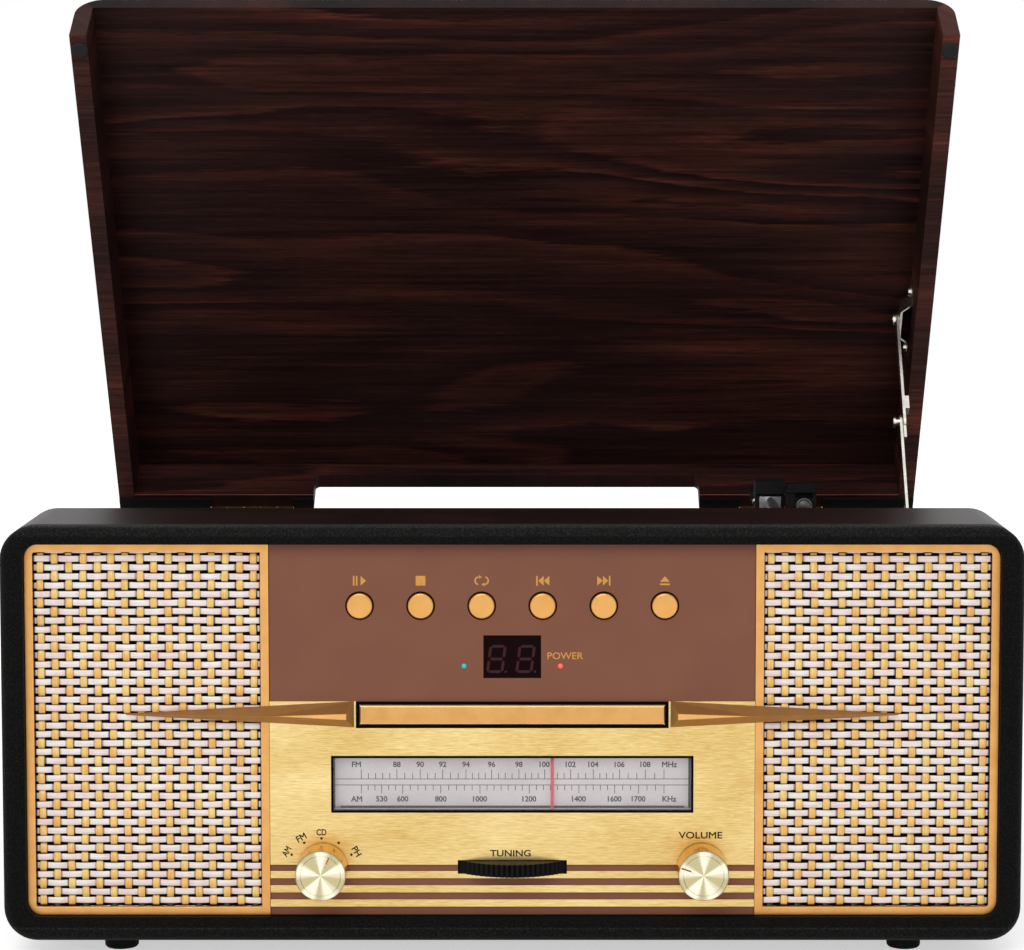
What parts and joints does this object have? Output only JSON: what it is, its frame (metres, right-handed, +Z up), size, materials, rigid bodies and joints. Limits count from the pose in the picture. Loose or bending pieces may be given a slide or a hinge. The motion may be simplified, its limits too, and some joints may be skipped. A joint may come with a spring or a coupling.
{
  "type": "stereo music centre",
  "caption": "Table-top music centre: wooden cabinet with woven grilles, radio dial, disc drawer, and a record deck under a lid held open by a folding stay.",
  "frame": {"origin": "centre of the bounding box's footprint at the bottom of the feet, with the lid open", "axes": "+X to the right seen from the front, +Y to the back, +Z up; the front faces -Y"},
  "size_m": [0.48, 0.4536, 0.4643],
  "materials": {
    "dark_wood": "satin rosewood-grain foil on board",
    "textured_black": "leather-grain black wrap",
    "brown_panel": "satin brown enamel",
    "brushed_gold": "brushed and gold anodised",
    "black_board": "matt black painted board",
    "gold_trim": "satin gold lacquer",
    "grille_weave": "woven gold and pale plastic strips",
    "gold_wing": "polished gold lacquer",
    "black_plastic": "moulded",
    "red_filter": "smoked red",
    "clear_lens": "clear",
    "silver_dial": "printed silver",
    "red_pointer": "gloss red",
    "circuit_board": "solder resist",
    "turned_knob": "spun champagne",
    "zinc_steel": "zinc plated",
    "gold_button": "gold plated",
    "speaker_paper": "pressed paper cone",
    "transformer_core": "varnished laminations",
    "rear_board": "dark hardboard",
    "black_rubber": "matt",
    "deck_plastic": "fine grain",
    "pulley_brass": "turned",
    "cast_platter": "cast and turned",
    "arm_metal": "satin",
    "red_cartridge": "moulded",
    "hinge_brass": "brass plated",
    "nickel_steel": "nickel plated"
  },
  "bodies": {
    "cabinet": {"cabinet_shell": "dark_wood", "front_frame": "textured_black", "fascia_panel": "brown_panel", "gold_plate": "brushed_gold", "speaker_baffle": "black_board", "left_grille_frame": "gold_trim", "right_grille_frame": "gold_trim", "left_grille_cloth": "grille_weave", "right_grille_cloth": "grille_weave", "left_wing": "gold_wing", "right_wing": "gold_wing", "fascia_bezels": "black_plastic", "display_window": "red_filter", "dial_window": "clear_lens", "dial_plate": "silver_dial", "circuit_boards": "circuit_board", "knob_controls": "zinc_steel", "cd_mechanism": "zinc_steel", "speaker_units": "zinc_steel", "speaker_cones": "speaker_paper", "power_transformer": "transformer_core", "rear_panel": "rear_board", "rear_sockets": "black_plastic", "feet": "black_rubber", "deck_plate": "deck_plastic", "platter_motor": "zinc_steel", "drive_belt": "black_rubber", "tonearm_base": "deck_plastic", "tonearm_rest": "deck_plastic", "hinge_base_leaves": "hinge_brass", "stay_base_bracket": "nickel_steel"},
    "lid": {"lid_panel": "dark_wood", "lid_side_walls": "dark_wood", "lid_rear_wall": "dark_wood", "lid_bumpers": "black_rubber", "hinge_lid_leaves": "hinge_brass", "stay_lid_bracket": "nickel_steel"},
    "stay_upper": {"stay_upper_arm": "nickel_steel"},
    "stay_lower": {"stay_lower_arm": "nickel_steel"},
    "platter": {"platter": "cast_platter", "platter_mat": "black_rubber"},
    "pulley": {"motor_pulley": "pulley_brass"},
    "arm_yoke": {"tonearm_yoke": "deck_plastic"},
    "arm": {"tonearm": "arm_metal", "cartridge": "red_cartridge"},
    "cue": {"cue_lever": "black_plastic"},
    "speed": {"speed_lever": "arm_metal"},
    "drawer": {"cd_tray": "black_plastic", "cd_door": "gold_trim"},
    "disc_hub": {"cd_hub": "black_plastic"},
    "play": {"play_button": "gold_button"},
    "stop": {"stop_button": "gold_button"},
    "repeat": {"repeat_button": "gold_button"},
    "previous": {"previous_button": "gold_button"},
    "next": {"next_button": "gold_button"},
    "eject": {"eject_button": "gold_button"},
    "selector": {"selector_knob": "turned_knob"},
    "volume": {"volume_knob": "turned_knob"},
    "wheel": {"tuning_wheel": "black_plastic"},
    "pointer": {"dial_pointer": "red_pointer"}
  },
  "joints": [
    {"name": "lid_hinge", "type": "hinge", "parent": "cabinet", "child": "lid", "pos_m": [0, 0.19445, 0.16525], "axis": [-1, 0, 0], "range_deg": [-57.4, 0]},
    {"name": "stay_upper_pivot", "type": "hinge", "parent": "lid", "child": "stay_upper", "pos_m": [0.2222, 0.1434, 0.28359], "axis": [-1, 0, 0], "range_deg": [-59.92, 0]},
    {"name": "stay_lower_pivot", "type": "hinge", "parent": "cabinet", "child": "stay_lower", "pos_m": [0.22, 0.06725, 0.17], "axis": [-1, 0, 0], "range_deg": [0, 49.64]},
    {"name": "platter_spin", "type": "hinge", "parent": "cabinet", "child": "platter", "pos_m": [-0.025, 0.02825, 0.16], "axis": [0, 0, 1], "continuous": true},
    {"name": "pulley_spin", "type": "hinge", "parent": "cabinet", "child": "pulley", "pos_m": [-0.12248, -0.04001, 0.15], "axis": [0, 0, 1], "continuous": true},
    {"name": "tonearm_turn", "type": "hinge", "parent": "cabinet", "child": "arm_yoke", "pos_m": [0.1465, 0.11625, 0.17], "axis": [0, 0, -1], "range_deg": [0, 50]},
    {"name": "tonearm_lift", "type": "hinge", "parent": "arm_yoke", "child": "arm", "pos_m": [0.1465, 0.11625, 0.18], "axis": [-1, 0, 0], "range_deg": [0, 8]},
    {"name": "cue_lever_turn", "type": "hinge", "parent": "cabinet", "child": "cue", "pos_m": [0.188, 0.10425, 0.162], "axis": [1, 0, 0], "range_deg": [0, 12]},
    {"name": "speed_slide", "type": "slide", "parent": "cabinet", "child": "speed", "axis": [0, 1, 0], "range_m": [0, 0.014]},
    {"name": "drawer_slide", "type": "slide", "parent": "cabinet", "child": "drawer", "axis": [0, -1, 0], "range_m": [0, 0.13]},
    {"name": "disc_hub_spin", "type": "hinge", "parent": "cabinet", "child": "disc_hub", "pos_m": [0, -0.13775, 0.11], "axis": [0, 0, 1], "continuous": true},
    {"name": "play_press", "type": "slide", "parent": "cabinet", "child": "play", "axis": [0, 1, 0], "range_m": [0, 0.0012], "stiffness_N_per_m": 400, "springref_m": -0.0005},
    {"name": "stop_press", "type": "slide", "parent": "cabinet", "child": "stop", "axis": [0, 1, 0], "range_m": [0, 0.0012], "stiffness_N_per_m": 400, "springref_m": -0.0005},
    {"name": "repeat_press", "type": "slide", "parent": "cabinet", "child": "repeat", "axis": [0, 1, 0], "range_m": [0, 0.0012], "stiffness_N_per_m": 400, "springref_m": -0.0005},
    {"name": "previous_press", "type": "slide", "parent": "cabinet", "child": "previous", "axis": [0, 1, 0], "range_m": [0, 0.0012], "stiffness_N_per_m": 400, "springref_m": -0.0005},
    {"name": "next_press", "type": "slide", "parent": "cabinet", "child": "next", "axis": [0, 1, 0], "range_m": [0, 0.0012], "stiffness_N_per_m": 400, "springref_m": -0.0005},
    {"name": "eject_press", "type": "slide", "parent": "cabinet", "child": "eject", "axis": [0, 1, 0], "range_m": [0, 0.0012], "stiffness_N_per_m": 400, "springref_m": -0.0005},
    {"name": "selector_turn", "type": "hinge", "parent": "cabinet", "child": "selector", "pos_m": [-0.0893, -0.21375, 0.043], "axis": [0, 1, 0], "range_deg": [-87, 29]},
    {"name": "volume_turn", "type": "hinge", "parent": "cabinet", "child": "volume", "pos_m": [0.0893, -0.21375, 0.043], "axis": [0, 1, 0], "range_deg": [-80, 220]},
    {"name": "tuning_turn", "type": "hinge", "parent": "cabinet", "child": "wheel", "pos_m": [0, -0.18275, 0.043], "axis": [0, 0, 1], "range_deg": [-235.5, 138]},
    {"name": "pointer_slide", "type": "slide", "parent": "cabinet", "child": "pointer", "axis": [1, 0, 0], "range_m": [-0.0905, 0.053]}
  ],
  "couplings": [
    {"joint": "stay_upper_pivot", "follows": "lid_hinge", "ratio": 1.0404},
    {"joint": "stay_lower_pivot", "follows": "lid_hinge", "ratio": -0.86138},
    {"joint": "pulley_spin", "follows": "platter_spin", "ratio": 14.735},
    {"joint": "pointer_slide", "follows": "tuning_turn", "m_per_rad": 0.022}
  ]
}
